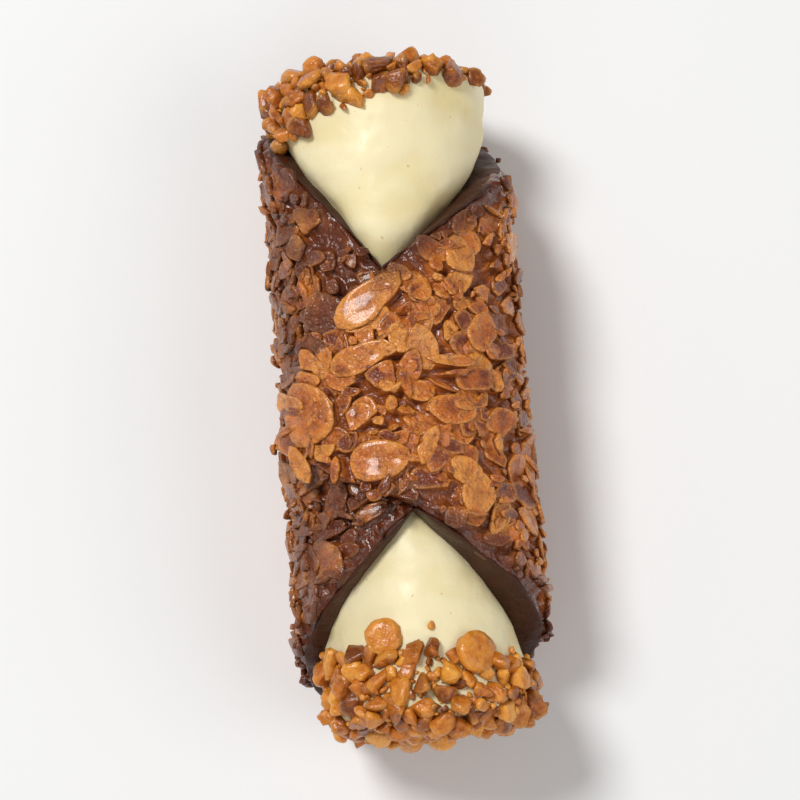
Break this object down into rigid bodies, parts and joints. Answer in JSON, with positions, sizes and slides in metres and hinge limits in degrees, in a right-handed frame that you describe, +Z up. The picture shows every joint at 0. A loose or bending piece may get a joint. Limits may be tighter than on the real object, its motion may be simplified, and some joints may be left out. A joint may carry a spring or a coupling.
{
  "type": "filled almond brittle cannolo",
  "caption": "Tube of rolled almond brittle lined with chocolate, with V-shaped notches, filled with cream, both ends dipped in chopped nuts.",
  "frame": {"origin": "middle of the flat strip that the cannolo rests on, straight below the tube's axis", "axes": "+Y along the tube from the end with the wide nut band to the end with the narrow one, +Z up, out of the two notches and the seam"},
  "size_m": [0.0288, 0.0808, 0.0276],
  "materials": {
    "brittle": "glossy amber caramel with sliced almonds",
    "chocolate": "dark chocolate, half gloss",
    "cream": "smooth ivory cream, soft gloss",
    "nuts": "chopped caramelised nuts, golden, glossy"
  },
  "bodies": {
    "root": {"brittle_shell": "brittle", "chocolate_lining": "chocolate", "cream_filling": "cream", "nut_crust_far": "nuts", "nut_crust_near": "nuts"}
  },
  "joints": []
}
